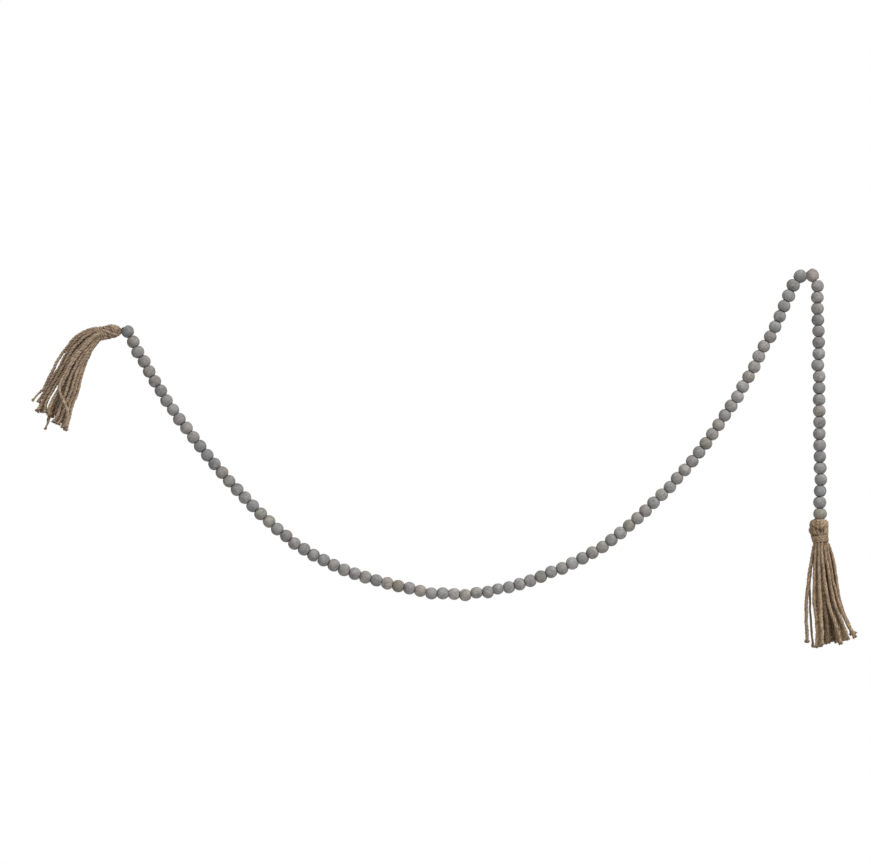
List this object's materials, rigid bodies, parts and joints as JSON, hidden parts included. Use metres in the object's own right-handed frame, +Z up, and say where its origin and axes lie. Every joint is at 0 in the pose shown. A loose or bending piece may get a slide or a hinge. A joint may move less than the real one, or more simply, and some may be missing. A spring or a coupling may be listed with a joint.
{
  "type": "wood bead garland",
  "caption": "Garland of grey-washed turned wood beads on a cord, hung in a swag with a short drop, with a bound twine tassel at each end.",
  "frame": {"origin": "underside of the cord at the top of the right arch, where a hook bears between the two highest beads", "axes": "+Z up, +X to the right as seen from the front, with the viewer on the -Y side; the garland lies in the XZ plane"},
  "size_m": [0.8673, 0.0328, 0.3966],
  "materials": {
    "grey_wood": "matte grey wash",
    "jute_twine": "natural plied twine",
    "string": "plain twisted cord"
  },
  "bodies": {
    "root": {"bead_001": "grey_wood", "bead_084": "grey_wood", "bead_085": "grey_wood", "bead_086": "grey_wood", "beads_002_003": "grey_wood", "beads_004_005": "grey_wood", "beads_006_007": "grey_wood", "beads_008_009": "grey_wood", "beads_010_011": "grey_wood", "beads_012_013": "grey_wood", "beads_014_015": "grey_wood", "beads_016_017": "grey_wood", "beads_018_019": "grey_wood", "beads_020_021": "grey_wood", "beads_022_023": "grey_wood", "beads_024_025": "grey_wood", "beads_026_027": "grey_wood", "beads_028_029": "grey_wood", "beads_030_031": "grey_wood", "beads_032_033": "grey_wood", "beads_034_035": "grey_wood", "beads_036_037": "grey_wood", "beads_038_039": "grey_wood", "beads_040_041": "grey_wood", "beads_042_043": "grey_wood", "beads_044_045": "grey_wood", "beads_046_047": "grey_wood", "beads_048_049": "grey_wood", "beads_050_051": "grey_wood", "beads_052_053": "grey_wood", "beads_054_055": "grey_wood", "beads_056_057": "grey_wood", "beads_058_059": "grey_wood", "beads_060_061": "grey_wood", "beads_062_063": "grey_wood", "beads_064_065": "grey_wood", "beads_066_067": "grey_wood", "beads_068_069": "grey_wood", "beads_070_071": "grey_wood", "beads_072_073": "grey_wood", "beads_074_075": "grey_wood", "beads_076_077": "grey_wood", "beads_078_079": "grey_wood", "beads_080_081": "grey_wood", "beads_082_083": "grey_wood", "beads_087_088": "grey_wood", "beads_089_090": "grey_wood", "beads_091_092": "grey_wood", "beads_093_094": "grey_wood", "beads_095_096": "grey_wood", "beads_097_098": "grey_wood", "beads_099_100": "grey_wood", "beads_101_102": "grey_wood", "beads_103_104": "grey_wood", "beads_105_106": "grey_wood", "binding_left": "jute_twine", "binding_right": "jute_twine", "cord": "string", "tassel_left": "jute_twine", "tassel_right": "jute_twine"}
  },
  "joints": []
}
